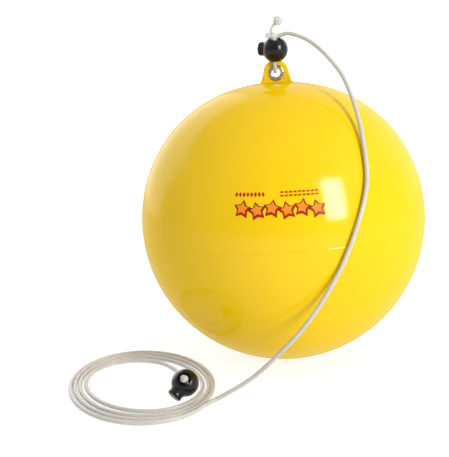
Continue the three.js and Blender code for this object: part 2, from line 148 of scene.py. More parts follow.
# The loop: (side step, height) in the upper lock's hole, the way down past the lug, and the bend in the eyelet.
STRAND_IN_LOCK = [(2.15, 9.4), (2.15, 3.5), (2.15, 0), (2.3, -5.9)]
LOOP_X = -0.6
LOOP_HALF_WIDTH = 4.2
LOOP_RISE = 4.4
LOOP_LOW = 0.9
FRONT_STRAND = [(-0.7, -2.95, 239.7), (-0.8, -3.6, 237.8), (-0.7, -4.1, 236)]
BACK_STRAND = [(0.3, 3, 241.5), (-0.1, 3.6, 239.1), (-0.4, 4.1, 236.4)]

# The joining knot with its cut end, and the tail with its knot.
JOINING_KNOT = Vector((-1, -4.9, 258.9))
JOINING_KNOT_R = 3.7
JOINING_WRAP_R = 3.5
CUT_END_ROUTE = [JOINING_KNOT, (-4.6, -5.5, 259.3), (-5.2, -9.0, 259.6)]
TAIL_ROUTE = [
    (-1.8, -4.9, 260.2), (-2.6, -4.9, 262.1), (-2.3, -4.9, 264.4), (-1.3, -4.9, 266.4), (0.6, -4.9, 268.4),
]
TAIL_KNOT = Vector((2.7, -4.9, 270.9))
TAIL_KNOT_R = 4.0

# The main cord's end and its stopper knot, as distances from the lower lock's centre along its cord hole.
CORD_END_OFFSET = 6.4
END_KNOT_OFFSET = 9.3
END_KNOT_R = 3.05

# The cord's route from the joining knot, over in an arch, down the front of the ball to the coil.
CORD_ROUTE = [
    (3.8, -4.7, 259.4), (7, -5.6, 260.2), (11, -7, 260.5), (22, -12.2, 256.5), (28.6, -16.5, 252.1),
    (35.6, -23, 245.6), (46.7, -37, 231.2), (50.3, -43.5, 224), (55.5, -55, 208.6),
    (58.9, -68, 190.6), (60, -76.2, 178.5), (60.6, -82.5, 169.4), (60.8, -87.2, 161.5),
    (59.9, -92.1, 153.1), (57.6, -97.3, 143.6), (54.2, -101.8, 133.3), (49.8, -105.7, 121.6),
    (44.2, -108.6, 108.3), (39, -110, 97.3), (25, -114.3, 74.8), (9, -115.6, 54), (-6.3, -114, 37.5),
    (-13.3, -112.7, 30.2), (-27.2, -110.4, 17.8), (-43.8, -109, 7.2), (-50.5, -109.4, 3.8),
    (-53.6, -110.3, 2.7),
]
# Where the cord comes down to the ground, just before the coil.
COIL_LEAD_IN = (-57, -112.2, 1.8)
# The route from the inside of the coil into the lower lock's rear mouth.
CORD_END_ROUTE = [
    (-98.6, -39.6, 1.6), (-92.2, -47.7, 1.8), (-88, -54, 1.8), (-84, -62, 1.8), (-80.6, -71.5, 1.8),
    (-78, -81, 2.1), (-76.2, -89.5, 3.3), (-75.5, -94.4, 5),
]
# The coil is a flat spiral between two ovals, wound clockwise from its outer end.
COIL_OUTER = {"x": -112.6, "y": -75.1, "long": 70.4, "short": 56, "angle": 115.3}
COIL_INNER = {"x": -113, "y": -74.6, "long": 51, "short": 38.2, "angle": 133.2}
COIL_START = -38
COIL_TURNS = 3 + 242 / 360
COIL_POINTS_PER_TURN = 32
# How far in the coil has come after so many turns: the outer turns lie close and the inner ones looser.
COIL_BUNCHING = [(0, 0), (1, 0.225), (2, 0.45), (3, 0.775), (COIL_TURNS, 1)]

# The print on the front of the ball: a row of stars, with a row of diamonds and two rows of dashes over it.
# Every second star sits lower and leans the other way. Pairs are (along the seam, up).
PRINT_LATITUDE = 15.3
INK_T = 0.06
INK_ROOT = -0.3
STAR_COUNT = 6
STAR_R = 6.8
STAR_WAIST = 0.56
STAR_SPACING = 10.4
STAR_ROW_SHIFT = -1
STAR_HEIGHTS = (-0.2, -1.6)
STAR_SPINS = (math.radians(-10), math.radians(12))
DIAMOND_COUNT = 8
DIAMOND_PLACE = (-31.6, 10.1)
DIAMOND_SPACING = 2.75
DIAMOND_HALF = (1.15, 1.9)
DASH_COUNT = 9
DASH_ROWS = 2
DASH_PLACE = (0.8, 8.8)
DASH_SPACING = (3.1, 2.5)
DASH_HALF = (1.1, 0.6)

# The studio: a floor, and a backdrop that curves up from its far edge.
FLOOR_HALF_WIDTH = 7000
FLOOR_FRONT = -6000
FLOOR_BACK = 2200
BACKDROP_CURVE = 1200
BACKDROP_TOP = 4500


# ------------------------ small helpers

def sphere_radius(angle):
    """Distance from the ball's centre to its skin, at an angle from the upper pole."""
    return BALL_R - POLE_DIP * math.exp(-((angle / POLE_DIP_ANGLE) ** 2))


def smooth_line(route, step):
    """Points about a step apart on the centripetal Catmull-Rom curve through a route."""
    points = [Vector(place) for place in route]
    points = [2 * points[0] - points[1], *points, 2 * points[-1] - points[-2]]
    line = []
    for a, b, c, d in zip(points, points[1:], points[2:], points[3:]):
        t1 = (b - a).length ** 0.5
        t2 = t1 + (c - b).length ** 0.5
        t3 = t2 + (d - c).length ** 0.5
        count = max(2, round((c - b).length / step))
        for i in range(count):
            t = t1 + (t2 - t1) * i / count
            ab = a.lerp(b, t / t1)
            bc = b.lerp(c, (t - t1) / (t2 - t1))
            cd = c.lerp(d, (t - t2) / (t3 - t2))
            abc = ab.lerp(bc, t / t2)
            bcd = bc.lerp(cd, (t - t1) / (t3 - t1))
            line.append(abc.lerp(bcd, (t - t1) / (t2 - t1)))
    line.append(points[-2])
    return line


def make_object(name, vertices, faces, material, body=None, slot=None, smooth=True):
    """A piece made of vertices in millimetres. With a body it rides on that body."""
    data = bpy.data.meshes.new(name)
    data.from_pydata([[c * MM for c in v] for v in vertices], [], faces)
    data.validate()
    if smooth:
        data.shade_smooth()
    obj = bpy.data.objects.new(name, data)
    bpy.context.scene.collection.objects.link(obj)
    data.materials.append(material)
    if body:
        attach(obj, body)
    return obj


def lathe(profile, segments):
    """Vertices and faces of a body turned round Z from (radius, height) pairs. They start and end on the axis,
    or the last pair repeats the first one and the outline closes on itself."""
    closed = profile[0] == profile[-1]
    rows = profile[:-1] if closed else profile
    vertices = []
    rings = []
    for radius, height in rows:
        if radius < 1e-9:
            rings.append([len(vertices)])
            vertices.append((0, 0, height))
            continue
        rings.append(range(len(vertices), len(vertices) + segments))
        for i in range(segments):
            angle = 2 * math.pi * i / segments
            vertices.append((radius * math.cos(angle), radius * math.sin(angle), height))
    faces = []
    pairs = list(zip(rings, rings[1:]))
    if closed:
        pairs.append((rings[-1], rings[0]))
    for low, high in pairs:
        for i in range(segments):
            j = (i + 1) % segments
            if len(low) == 1:
                faces.append((low[0], high[j], high[i]))
            elif len(high) == 1:
                faces.append((low[i], low[j], high[0]))
            else:
                faces.append((low[i], low[j], high[j], high[i]))
    return vertices, faces


def line_frames(line, loop):
    """(place, direction, side) at each point of a line. The side turns as little as it can along the line."""
    count = len(line)
    tangents = []
    for i in range(count):
        before = line[i - 1] if (i or loop) else line[0]
        after = line[(i + 1) % count] if (i < count - 1 or loop) else line[-1]
        tangents.append((after - before).normalized())
    side = tangents[0].orthogonal().normalized()
    sides_at = [side]
    for a, b in zip(tangents, tangents[1:]):
        side = (a.rotation_difference(b) @ side).normalized()
        sides_at.append(side)
    twist = 0
    if loop:
        back = tangents[-1].rotation_difference(tangents[0]) @ sides_at[-1]
        twist = back.angle(sides_at[0])
        if back.cross(sides_at[0]).dot(tangents[0]) < 0:
            twist = -twist
    frames = []
    for i, (place, tangent, side) in enumerate(zip(line, tangents, sides_at)):
        frames.append((place, tangent, Matrix.Rotation(twist * i / count, 3, tangent) @ side))
    return frames


def tube(line, radius, sides=CORD_SIDES, loop=False):
    """Vertices and faces of a round tube along a line, with rounded ends or closed into a loop.
    radius is a number or a function of the share of the line that has been run."""
    radius_at = radius if callable(radius) else (lambda share: radius)
    rings = []
    for i, frame_here in enumerate(line_frames(line, loop)):
        rings.append((*frame_here, radius_at(i / (len(line) - 1))))
    if not loop:
        rings = [*cap_rings(rings[0], -1), *rings, *reversed(cap_rings(rings[-1], 1))]
    vertices = []
    for centre, tangent, across, r in rings:
        up = tangent.cross(across)
        for k in range(sides):
            angle = 2 * math.pi * k / sides
            vertices.append(centre + r * (math.cos(angle) * across + math.sin(angle) * up))
    faces = []
    last = len(rings) if loop else len(rings) - 1
    for i in range(last):
        for k in range(sides):
            a = i * sides + k
            b = i * sides + (k + 1) % sides
            c = ((i + 1) % len(rings)) * sides + (k + 1) % sides
            d = ((i + 1) % len(rings)) * sides + k
            faces.append((a, b, c, d))
    if not loop:
        faces.append(tuple(reversed(range(sides))))
        faces.append(tuple(range((len(rings) - 1) * sides, len(rings) * sides)))
    return vertices, faces


def cap_rings(ring, way):
    """Shrinking rings that round off a tube's end with a small radius."""
    centre, tangent, across, r = ring
    edge = r * 0.3
    rings = []
    for step in (3, 2, 1):
        angle = math.pi / 2 * step / 3
        out = edge * math.sin(angle)
        rings.append((centre + way * out * tangent, tangent, across, r - edge * (1 - math.cos(angle))))
    return rings


def joined(*parts):
    """Several (vertices, faces) pairs as one."""
    vertices = []
    faces = []
    for some_vertices, some_faces in parts:
        base = len(vertices)
        vertices.extend(some_vertices)
        faces.extend(tuple(i + base for i in face) for face in some_faces)
    return vertices, faces


def placed(part, matrix):
    """(vertices, faces) moved by a matrix."""
    vertices, faces = part
    return [matrix @ Vector(v) for v in vertices], faces


def cut(obj, cutter_part):
    """Cuts (vertices, faces) out of an object's mesh."""
    data = bpy.data.meshes.new("cutter")
    vertices, faces = cutter_part
    data.from_pydata([[c * MM for c in v] for v in vertices], [], faces)
    cutter = bpy.data.objects.new("cutter", data)
    bpy.context.scene.collection.objects.link(cutter)
    modifier = obj.modifiers.new("cut", "BOOLEAN")
    modifier.object = cutter
    modifier.operation = "DIFFERENCE"
    modifier.solver = "EXACT"
    keep_modifiers(obj)
    bpy.data.objects.remove(cutter)
    bpy.data.meshes.remove(data)


def keep_modifiers(obj):
    """Turns what an object's modifiers make into its own mesh."""
    evaluated = obj.evaluated_get(bpy.context.evaluated_depsgraph_get())
    result = bpy.data.meshes.new_from_object(evaluated)
    old = obj.data
    obj.modifiers.clear()
    obj.data = result
    result.name = old.name
    bpy.data.meshes.remove(old)


def soften_edges(obj, width, angle=32):
    """Rounds an object's sharp edges and shades it smoothly between them."""
    bevel = obj.modifiers.new("bevel", "BEVEL")
    bevel.width = width * MM
    bevel.segments = 2
    bevel.limit_method = "ANGLE"
    bevel.angle_limit = math.radians(angle)
    bevel.use_clamp_overlap = True
    keep_modifiers(obj)
    obj.data.shade_smooth()
    obj.data.set_sharp_from_angle(angle=math.radians(angle))


# ------------------------ camera

def make_camera():
    """The viewing angle: from 0.65 m in front, a little above the ball's middle, and leaning a little."""
    data = bpy.data.cameras.new("camera")
    data.lens = 61.6
    data.sensor_width = 36
    data.clip_start = 0.02
    camera = bpy.data.objects.new("camera", data)
    bpy.context.scene.collection.objects.link(camera)
    place = Vector((0, -0.6358, 0.2474))
    target = Vector((-0.0479, 0, 0.1054))
    roll = math.radians(-3.14)
    aim = (target - place).to_track_quat("-Z", "Y").to_matrix()
    turn = aim @ Matrix.Rotation(roll, 3, "Z")
    camera.matrix_world = Matrix.Translation(place) @ turn.to_4x4()
    bpy.context.scene.camera = camera


# ------------------------ materials

def new_material(name):
    """A material, its node tree and its shader node."""
    material = bpy.data.materials.new(name)
    material.use_nodes = True
    shader = material.node_tree.nodes["Principled BSDF"]
    return material, material.node_tree, shader


def noise(tree, scale, detail=3):
    """A noise texture in the object's own space, with scale in features per metre."""
    place = tree.nodes.new("ShaderNodeTexCoord")
    texture = tree.nodes.new("ShaderNodeTexNoise")
    texture.inputs["Scale"].default_value = scale
    texture.inputs["Detail"].default_value = detail
    tree.links.new(place.outputs["Object"], texture.inputs["Vector"])
    return texture


def mottle(tree, shader, dark, light, scale):
    """Base colour that drifts between two shades, with scale in drifts per metre."""
    texture = noise(tree, scale)
    ramp = tree.nodes.new("ShaderNodeValToRGB")
    ramp.color_ramp.elements[0].position = 0.35
    ramp.color_ramp.elements[0].color = (*dark, 1)
    ramp.color_ramp.elements[1].position = 0.65
    ramp.color_ramp.elements[1].color = (*light, 1)
    tree.links.new(texture.outputs["Fac"], ramp.inputs["Fac"])
    tree.links.new(ramp.outputs["Color"], shader.inputs["Base Color"])


def roughen(tree, shader, low, high, scale):
    """Roughness that drifts between two values, with scale in drifts per metre."""
    texture = noise(tree, scale, 5)
    spread = tree.nodes.new("ShaderNodeMapRange")
    spread.inputs["From Min"].default_value = 0.3
    spread.inputs["From Max"].default_value = 0.7
    spread.inputs["To Min"].default_value = low
    spread.inputs["To Max"].default_value = high
    tree.links.new(texture.outputs["Fac"], spread.inputs["Value"])
    tree.links.new(spread.outputs["Result"], shader.inputs["Roughness"])


def grain(tree, shader, scale, depth):
    """Fine relief, with depth in millimetres and scale in bumps per metre."""
    texture = noise(tree, scale, 4)
    bump = tree.nodes.new("ShaderNodeBump")
    bump.inputs["Distance"].default_value = depth * MM
    tree.links.new(texture.outputs["Fac"], bump.inputs["Height"])
    tree.links.new(bump.outputs["Normal"], shader.inputs["Normal"])


def fade_rim_gloss(tree, shader, levels):
    """Reflections that weaken as the surface turns away. levels holds (how far it turns away, level) pairs."""
    facing = tree.nodes.new("ShaderNodeLayerWeight")
    ramp = tree.nodes.new("ShaderNodeValToRGB")
    stops = ramp.color_ramp.elements
    while len(stops) < len(levels):
        stops.new(0.5)
    for stop, (place, level) in zip(stops, levels):
        stop.position = place
        stop.color = (level, level, level, 1)
    tree.links.new(facing.outputs["Facing"], ramp.inputs["Fac"])
    tree.links.new(ramp.outputs["Color"], shader.inputs["Specular IOR Level"])


def yellow_vinyl():
    """Glossy yellow vinyl, with reflections that fade towards the ball's rim."""
    material, tree, shader = new_material("yellow_vinyl")
    mottle(tree, shader, (0.715, 0.46, 0.0), (0.745, 0.485, 0.0), 9)
    roughen(tree, shader, 0.11, 0.16, 60)
    grain(tree, shader, 320, 0.012)
    fade_rim_gloss(tree, shader, [(0.1, 0.36), (0.6, 0.06), (0.9, 0)])
    shader.inputs["Specular Tint"].default_value = (1, 0.92, 0.9, 1)
    return material


def black_plastic():
    """Polished black moulded plastic."""
    material, tree, shader = new_material("black_plastic")
    mottle(tree, shader, (0.002, 0.002, 0.003), (0.005, 0.0045, 0.005), 400)
    roughen(tree, shader, 0.18, 0.26, 900)
    grain(tree, shader, 1600, 0.01)
    shader.inputs["Specular IOR Level"].default_value = 0.36
    return material


def cream_cord():
    """Smooth ivory elastic cord with a faint grain, a little see-through at its surface."""
    material, tree, shader = new_material("cream_cord")
    mottle(tree, shader, (0.46, 0.44, 0.395), (0.50, 0.48, 0.435), 60)
    roughen(tree, shader, 0.36, 0.44, 400)
    grain(tree, shader, 900, 0.012)
    shader.inputs["Subsurface Weight"].default_value = 0.15
    shader.inputs["Subsurface Radius"].default_value = (0.002, 0.0016, 0.001)
    return material


def nickel():
    """Bright nickel plate, its base colour darkened and warmed as a painted reflection of the yellow lug round
    it.
    """
    material, tree, shader = new_material("nickel")
    mottle(tree, shader, (0.38, 0.31, 0.20), (0.50, 0.43, 0.31), 500)
    roughen(tree, shader, 0.08, 0.16, 800)
    grain(tree, shader, 2500, 0.006)
    shader.inputs["Metallic"].default_value = 1
    return material


def spring_steel():
    """Plain drawn spring wire."""
    material, tree, shader = new_material("spring_steel")
    mottle(tree, shader, (0.42, 0.42, 0.43), (0.58, 0.58, 0.58), 900)
    roughen(tree, shader, 0.25, 0.4, 2000)
    shader.inputs["Metallic"].default_value = 1
    return material


def white_plastic():
    """Off-white soft plastic for the valve plug."""
    material, tree, shader = new_material("white_plastic")
    mottle(tree, shader, (0.74, 0.72, 0.67), (0.80, 0.78, 0.73), 300)
    roughen(tree, shader, 0.4, 0.55, 900)
    grain(tree, shader, 1200, 0.02)
    return material


def ink(name, colour):
    """Printed ink, a little duller than the vinyl under it."""
    material, tree, shader = new_material(name)
    light = tuple(min(1, c * 1.12) for c in colour)
    mottle(tree, shader, colour, light, 700)
    roughen(tree, shader, 0.2, 0.3, 800)
    shader.inputs["Specular IOR Level"].default_value = 0.2
    return material


def pale_floor():
    """A matt floor that glows a little, so that only soft shadows show on it."""
    material, tree, shader = new_material("pale_floor")
    mottle(tree, shader, (0.24, 0.24, 0.24), (0.26, 0.26, 0.26), 3)
    shader.inputs["Roughness"].default_value = 0.9
    shader.inputs["Specular IOR Level"].default_value = 0.1
    shader.inputs["Emission Color"].default_value = (1, 1, 1, 1)
    shader.inputs["Emission Strength"].default_value = 0.8
    return material


def glowing_backdrop():
    """White paper, lit from behind."""
    material, tree, shader = new_material("backdrop_paper")
    mottle(tree, shader, (0.49, 0.49, 0.49), (0.51, 0.51, 0.51), 3)
    shader.inputs["Roughness"].default_value = 0.9
    shader.inputs["Emission Color"].default_value = (1, 1, 1, 1)
    shader.inputs["Emission Strength"].default_value = 1
    return material


# ------------------------ cord

def coil_share(turn):
    """How far the coil has come from its outer to its inner oval after so many turns, from 0 to 1."""
    for (turn_a, share_a), (turn_b, share_b) in zip(COIL_BUNCHING, COIL_BUNCHING[1:]):
        if turn <= turn_b:
            break
    return share_a + (share_b - share_a) * (turn - turn_a) / (turn_b - turn_a)


def coil_line():
    """The coil's spiral, from its outer end to its inner end, lying on the ground."""
    count = round(COIL_POINTS_PER_TURN * COIL_TURNS)
    places = []
    for i in range(count + 1):
        turn = COIL_TURNS * i / count
        share = coil_share(turn)
        now = {k: COIL_OUTER[k] + (COIL_INNER[k] - COIL_OUTER[k]) * share for k in COIL_OUTER}
        heading = math.radians(COIL_START - 360 * turn)
        tilt = heading - math.radians(now["angle"])
        reach = 1 / math.hypot(math.cos(tilt) / now["long"], math.sin(tilt) / now["short"])
        places.append((
            now["x"] + reach * math.cos(heading),
            now["y"] + reach * math.sin(heading),
            CORD_R,
        ))
    return places


def on_lower_bore(distance):
    """A point on the axis of the lower lock's cord hole, a distance in front of the lock's centre."""
    return LOWER_LOCK + LOWER_BORE_DIR * distance


def make_main_cord(material):
    """One piece of cord from the joining knot to the stopper knot in the lower lock."""
    route = [
        *CORD_ROUTE, COIL_LEAD_IN, *coil_line(), *CORD_END_ROUTE,
        on_lower_bore(-LOCK_FLAT), on_lower_bore(0), on_lower_bore(CORD_END_OFFSET),
    ]
    line = smooth_line(route, MAIN_STEP)
    cord = make_object("main_cord", *tube(line, CORD_R), material, None, "cord_cream")
    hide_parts("cord_arch", "cord_drop", "cord_coil", "cord_end")
    return cord, line


def knot(outer_r, cord_r, place):
    """A tightened overhand knot with a given outer radius: a trefoil that passes three times through itself."""
    wave = 0.56
    rise = 0.62
    reach = (outer_r - cord_r) / (1 + wave)
    count = 72
    line = []
    for i in range(count):
        t = 2 * math.pi * i / count
        ring = 1 + wave * math.cos(3 * t)
        line.append(Vector((ring * math.cos(2 * t), ring * math.sin(2 * t), rise * math.sin(3 * t))) * reach)
    return placed(tube(line, cord_r, loop=True), place)


def make_end_knot(material):
    """The stopper knot that sits in the lower lock's mouth."""
    turn = Vector((0, 0, 1)).rotation_difference(LOWER_BORE_DIR).to_matrix().to_4x4()
    tied = knot(END_KNOT_R, END_KNOT_CORD_R, Matrix.Translation(on_lower_bore(END_KNOT_OFFSET)) @ turn)
    stub = tube([on_lower_bore(8.2), on_lower_bore(10), on_lower_bore(11.9)], 1.45)
    piece = make_object("end_stopper_knot", *joined(tied, stub), material, "ball", "cord_cream")
    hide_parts("end_knot")
    return piece


def strand_point(side, offset, height):
    """A point of one of the loop's two strands in the upper lock's hole. side is -1 for the front one."""
    return upper_lock_matrix() @ Vector((0, side * offset, height))


def make_loop_cord(material):
    """The stretched loop: down through the lock, through the eyelet and up again."""
    down = [strand_point(-1, *place) for place in STRAND_IN_LOCK]
    up = [strand_point(1, *place) for place in reversed(STRAND_IN_LOCK)]
    bend = []
    steps = 8
    for i in range(steps + 1):
        angle = math.pi * i / steps
        bend.append((
            LOOP_X,
            -LOOP_HALF_WIDTH * math.cos(angle),
            EYELET_Z + LOOP_RISE - (LOOP_RISE - LOOP_LOW) * math.sin(angle),
        ))
    line = smooth_line([*down, *FRONT_STRAND, *bend, *reversed(BACK_STRAND), *up], FINE_STEP)
    piece = make_object("eyelet_loop", *tube(line, LOOP_CORD_R), material, "hanger", "cord_cream")
    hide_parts("loop_cord")


def make_joining_knot(material):
    """The knot on top of the upper lock that joins the loop to the main cord, with its cut end."""
    turn = Matrix.Rotation(math.radians(70), 4, "X") @ Matrix.Rotation(math.radians(25), 4, "Z")
    knot_place = Matrix.Translation(JOINING_KNOT + Vector((0, 0, -0.3))) @ turn
    wrap_place = Matrix.Translation(JOINING_KNOT + Vector((-0.6, -0.4, 0)))
    tied = knot(JOINING_KNOT_R, JOINING_CORD_R, knot_place)
    wrap = knot(JOINING_WRAP_R, JOINING_CORD_R, wrap_place)
    cut_end = tube(
        smooth_line(CUT_END_ROUTE, 0.5), lambda share: CORD_R + CUT_END_FLARE * share ** 2, 20)
    neck = tube(smooth_line([JOINING_KNOT, (1.4, -4.8, 258.9), CORD_ROUTE[0]], 0.8), CORD_R)
    piece = make_object(
        "joining_knot_tied", *joined(tied, wrap, cut_end, neck), material, "hanger", "cord_cream")
    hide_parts("joining_knot")


def make_tail(material):
    """The short tail above the joining knot, with a knot at its tip."""
    line = smooth_line(TAIL_ROUTE, FINE_STEP)
    tail = make_object("tail_end", *tube(line, TAIL_CORD_R), material, "hanger", "cord_cream")
    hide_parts("tail_cord")
    turn = Matrix.Rotation(math.radians(62), 4, "X") @ Matrix.Rotation(math.radians(20), 4, "Y")
    tied = knot(TAIL_KNOT_R, TAIL_KNOT_CORD_R, Matrix.Translation(TAIL_KNOT + Vector((0, 0, -0.4))) @ turn)
    core_line = [TAIL_KNOT + Vector((-1.6, 0, -2.2)), TAIL_KNOT, TAIL_KNOT + Vector((1.3, 0, 2.1))]
    core = tube(core_line, 1.5)
    piece = make_object("tail_tip_knot", *joined(tied, core), material, "hanger", "cord_cream")
    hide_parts("tail_knot")


# ------------------------ ball and lug

def skin_profile():
    """The ball's outer outline from its top to the middle of its resting patch."""
    rows = 60
    profile = [(0, BALL_Z + sphere_radius(0))]
    for i in range(1, rows):
        angle = math.pi / 2 * i / rows
        radius = sphere_radius(angle)
        profile.append((radius * math.sin(angle), BALL_Z + radius * math.cos(angle)))
    for share in (-1, -0.7, -0.4, 0, 0.4, 0.7, 1):
        lift = SEAM_HEIGHT * (math.cos(math.pi * share) + 1) / 2
        profile.append((BALL_R + lift, BALL_Z - share * SEAM_WIDTH / 2))
    patch_angle = math.pi - math.asin(PATCH_R / BALL_R)
    for i in range(1, rows):
        angle = math.pi / 2 + (patch_angle - math.pi / 2) * i / rows
        profile.append((BALL_R * math.sin(angle), BALL_Z + BALL_R * math.cos(angle)))
    profile.append((PATCH_R, 0.15))
    profile.append((PATCH_R - PATCH_BLEND, 0))
    profile.append((PATCH_R / 2, 0))
    profile.append((0, 0))
    return profile


def valve_matrix(distance):
    """Puts something made round Z on the valve's axis, a distance from the ball's centre."""
    direction = Vector((0, math.cos(VALVE_ANGLE), -math.sin(VALVE_ANGLE)))
    turn = Vector((0, 0, 1)).rotation_difference(direction).to_matrix().to_4x4()
    return Matrix.Translation(Vector((0, 0, BALL_Z)) + direction * distance) @ turn


def lug_section(height, half_width, half_depth):
    """One level of the lug: an oblong with rounded corners."""
    points = 40
    ring = []
    for i in range(points):
        angle = 2 * math.pi * i / points
        cos = math.cos(angle)
        sin = math.sin(angle)
        x = half_width * math.copysign(abs(cos) ** LUG_SQUARENESS, cos)
        y = half_depth * math.copysign(abs(sin) ** (LUG_SQUARENESS * 1.4), sin)
        ring.append((x, y, height))
    return ring


def skin_height(x, y):
    """Height of the ball's skin above the ground, over a point near the lug."""
    across = math.hypot(x, y)
    angle = math.asin(min(1, across / (BALL_R - POLE_DIP)))
    return BALL_Z + sphere_radius(angle) * math.cos(angle)


def lug_fillet(x):
    """Height of the fillet at the lug's foot: low under the eyelet and tall at the lug's two sides."""
    return LUG_FILLET + (LUG_END_FILLET - LUG_FILLET) * min(1, abs(x) / LUG_WAIST) ** 4


def lug_levels():
    """The lug's levels from its foot up: a fillet that follows the ball, straight sides, and an arch on top."""
    levels = []
    fillet_steps = 12
    for i in range(fillet_steps + 1):
        share = i / fillet_steps
        flare = 1 - math.sin(math.pi / 2 * share)
        rise = 1 - math.cos(math.pi / 2 * share)
        ring = lug_section(0, LUG_WAIST + LUG_FLARE_X * flare, LUG_THICKNESS / 2 + LUG_FLARE_Y * flare)
        levels.append([(x, y, skin_height(x, y) - LUG_SINK + lug_fillet(x) * rise) for x, y, _ in ring])
    straight_steps = 6
    for i in range(1, straight_steps + 1):
        share = i / straight_steps
        half = LUG_WAIST + (LUG_R - LUG_WAIST) * share
        ring = []
        for (x, y, _), (_, _, base) in zip(lug_section(0, half, LUG_THICKNESS / 2), levels[fillet_steps]):
            ring.append((x, y, base + (EYELET_Z - base) * share))
        levels.append(ring)
    arch_steps = 14
    for i in range(1, arch_steps + 1):
        angle = math.pi / 2 * i / arch_steps
        half = LUG_R * math.cos(angle) if i < arch_steps else LUG_R * 0.05
        depth = LUG_THICKNESS / 2 * min(1, 0.55 + 1.2 * math.cos(angle))
        levels.append(lug_section(EYELET_Z + LUG_R * math.sin(angle), half, depth))
    return levels


def lug_part():
    """Vertices and faces of the lug, closed at its foot and its top."""
    levels = lug_levels()
    vertices = [v for level in levels for v in level]
    points = len(levels[0])
    faces = []
    for k in range(len(levels) - 1):
        for i in range(points):
            j = (i + 1) % points
            faces.append((k * points + i, k * points + j, (k + 1) * points + j, (k + 1) * points + i))
    faces.append(tuple(range((len(levels) - 1) * points, len(levels) * points)))
    faces.append(tuple(reversed(range(points))))
    return vertices, faces


def make_ball(material):
    """The ball with its seam and its valve hole."""
    skin = lathe(list(reversed(skin_profile())), 192)
    ball = make_object("ball_moulding", *skin, material, "ball", "vinyl_yellow")
    recess = lathe([
        (0, -VALVE_RECESS_DEPTH), (VALVE_HOLE_R + 2.2, -VALVE_RECESS_DEPTH), (VALVE_HOLE_R + 2.4, -0.4),
        (VALVE_HOLE_R + 2.9, 3), (0, 3),
    ], 40)
    hole = lathe([(0, -VALVE_HOLE_DEPTH), (VALVE_HOLE_R, -VALVE_HOLE_DEPTH), (VALVE_HOLE_R, 3), (0, 3)], 40)
    cut(ball, placed(recess, valve_matrix(BALL_R)))
    cut(ball, placed(hole, valve_matrix(BALL_R)))
    ball.data.shade_smooth()
    ball.data.set_sharp_from_angle(angle=math.radians(35))
    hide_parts("ball_skin")


def make_lug(material):
    """The lug, of the same moulding as the ball, with its hole for the eyelet."""
    lug = make_object("lug_moulding", *lug_part(), material, "ball", "vinyl_yellow")
    hole = lathe([(0, -8), (LUG_HOLE_R, -8), (LUG_HOLE_R, 8), (0, 8)], 40)
    cut(lug, placed(hole, eyelet_matrix()))
    lug.data.shade_smooth()
    lug.data.set_sharp_from_angle(angle=math.radians(50))
    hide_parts("hanger_lug")


def make_valve_plug(material):
    """A soft plug with a domed head, a finger recess and a tapered stem."""
    profile = [
        (0, -12), (1.6, -12), (2.1, -11.6), (2.3, -10.5), (2.85, -7.4), (2.85, 0), (PLUG_HEAD_R - 0.35, 0),
        (PLUG_HEAD_R, 0.3), (PLUG_HEAD_R - 0.1, 0.7), (PLUG_HEAD_R - 0.7, 1.05), (3.3, PLUG_HEAD_T),
        (2.5, PLUG_HEAD_T), (2.2, 1.05), (1.9, 0.75), (1.2, 0.62), (0, 0.6),
    ]
    part = placed(lathe(profile, 48), valve_matrix(BALL_R + PLUG_GAP))
    plug = make_object("valve_plug_detailed", *part, material, "plug", "plug_white")
    plug.data.set_sharp_from_angle(angle=math.radians(50))
    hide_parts("valve_plug")


def eyelet_matrix():
    """Puts something turned round Z into the lug's hole, with its top to the front."""
    return Matrix.Translation((0, 0, EYELET_Z)) @ Matrix.Rotation(math.pi / 2, 4, "X")


def eyelet_rows():
    """Outline of the eyelet round its hole: a barrel, a domed flange in front and a small rolled rim behind."""
    front = LUG_THICKNESS / 2 + EYELET_GAP
    rear = -front - EYELET_PLATE - EYELET_GAP
    rows = [
        (EYELET_BARREL_R, rear + 0.05), (EYELET_BARREL_R, front - 0.05), (EYELET_BARREL_R + 0.15, front),
        (EYELET_FLANGE_R - 0.2, front), (EYELET_FLANGE_R, front + 0.12), (EYELET_FLANGE_R - 0.08, front + 0.3),
    ]
    crown_middle = (EYELET_FLANGE_R + EYELET_HOLE_R) / 2 - 0.1
    crown_half = (EYELET_FLANGE_R - EYELET_HOLE_R) / 2 - 0.25
    steps = 8
    for i in range(steps + 1):
        angle = math.pi * i / steps
        lift = 0.1 + (EYELET_CROWN - 0.1) * math.sin(angle) ** 0.8 if 0 < i < steps else 0.22
        rows.append((crown_middle + crown_half * math.cos(angle), front + lift))
    rows += [
        (EYELET_HOLE_R, front - 0.4), (EYELET_HOLE_R, 0.2 - front), (EYELET_HOLE_R + 0.1, rear - 0.2),
        (EYELET_HOLE_R + 0.45, rear - 0.5), (EYELET_RIM_R - 0.5, rear - 0.5),
        (EYELET_RIM_R - 0.05, rear - 0.3), (EYELET_RIM_R - 0.15, rear), (EYELET_BARREL_R, rear),
    ]
    return [*rows, rows[0]]


def make_eyelet(material):
    """The rolled eyelet in the lug."""
    part = placed(lathe(eyelet_rows(), 56), eyelet_matrix())
    eyelet = make_object("eyelet_rolled", *part, material, "ball", "eyelet_nickel")
    eyelet.data.set_sharp_from_angle(angle=math.radians(60))
    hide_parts("eyelet_barrel")


